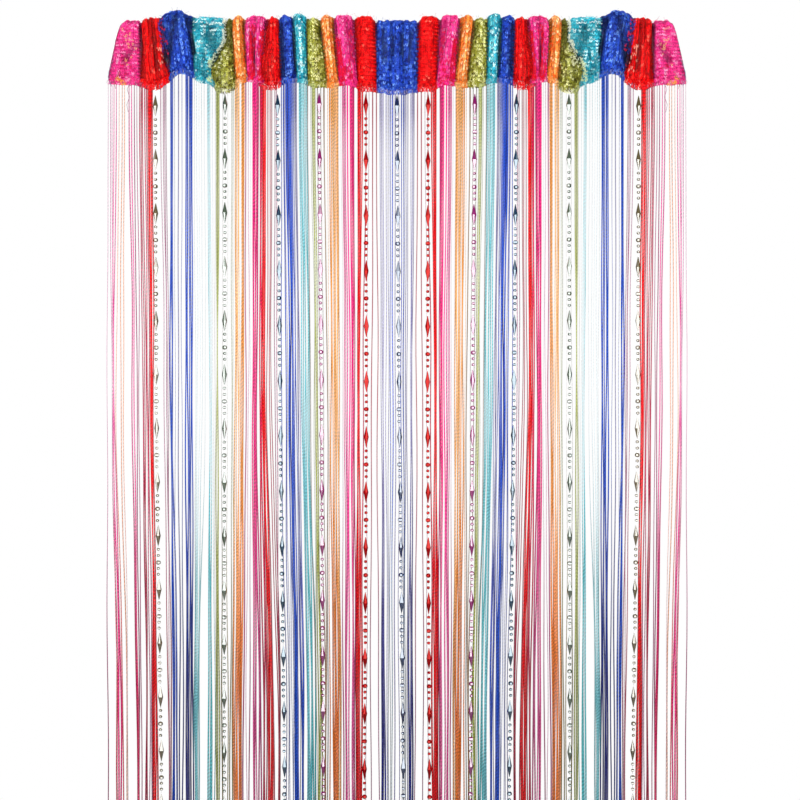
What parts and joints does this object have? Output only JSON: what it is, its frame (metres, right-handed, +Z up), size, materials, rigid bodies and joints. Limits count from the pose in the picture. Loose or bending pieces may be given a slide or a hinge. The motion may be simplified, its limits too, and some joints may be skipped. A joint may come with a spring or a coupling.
{
  "type": "beaded string curtain",
  "caption": "Multicoloured string curtain with strands of faceted beads, hung from a gathered, knitted rod-pocket heading with a lace border.",
  "frame": {"origin": "middle of the heading's top edge, where the rod in the pocket carries the curtain", "axes": "+X along the rod, +Y towards the back of the curtain, +Z up, so the strings hang along -Z and the front faces -Y"},
  "size_m": [0.6948, 0.0523, 2.006],
  "materials": {
    "knit_heading": "open warp knit in six colours, matt with a slight lustre",
    "yarn_pink": "twisted polyester yarn, soft lustre",
    "yarn_red": "twisted polyester yarn, soft lustre",
    "yarn_blue": "twisted polyester yarn, soft lustre",
    "yarn_teal": "twisted polyester yarn, soft lustre",
    "yarn_olive": "twisted polyester yarn, soft lustre",
    "yarn_orange": "twisted polyester yarn, soft lustre",
    "bead_smoke_brown": "clear tinted acrylic, faceted",
    "bead_smoke_green": "clear tinted acrylic, faceted",
    "bead_deep_teal": "clear tinted acrylic, faceted",
    "bead_magenta": "clear tinted acrylic, faceted",
    "bead_ruby": "clear tinted acrylic, faceted",
    "bead_navy": "clear tinted acrylic, faceted"
  },
  "bodies": {
    "root": {"heading": "knit_heading", "strings_01_pink": "yarn_pink", "strings_02_red": "yarn_red", "strings_03_blue": "yarn_blue", "strings_04_teal": "yarn_teal", "strings_05_olive": "yarn_olive", "strings_06_orange": "yarn_orange", "strings_07_pink": "yarn_pink", "strings_08_red": "yarn_red", "strings_09_blue": "yarn_blue", "strings_10_teal": "yarn_teal", "strings_11_olive": "yarn_olive", "strings_12_orange": "yarn_orange", "strings_13_pink": "yarn_pink", "strings_14_red": "yarn_red", "strings_15_blue": "yarn_blue", "strings_16_red": "yarn_red", "strings_17_pink": "yarn_pink", "strings_18_orange": "yarn_orange", "strings_19_olive": "yarn_olive", "strings_20_teal": "yarn_teal", "strings_21_blue": "yarn_blue", "strings_22_red": "yarn_red", "strings_23_pink": "yarn_pink", "strings_24_orange": "yarn_orange", "strings_25_olive": "yarn_olive", "strings_26_teal": "yarn_teal", "strings_27_blue": "yarn_blue", "strings_28_red": "yarn_red", "strings_29_pink": "yarn_pink", "beads_01_smoke_brown": "bead_smoke_brown", "beads_02_smoke_green": "bead_smoke_green", "beads_03_deep_teal": "bead_deep_teal", "beads_04_magenta": "bead_magenta", "beads_05_ruby": "bead_ruby", "beads_06_navy": "bead_navy", "beads_07_ruby": "bead_ruby", "beads_08_magenta": "bead_magenta", "beads_09_deep_teal": "bead_deep_teal", "beads_10_smoke_green": "bead_smoke_green", "beads_11_smoke_brown": "bead_smoke_brown"}
  },
  "joints": []
}
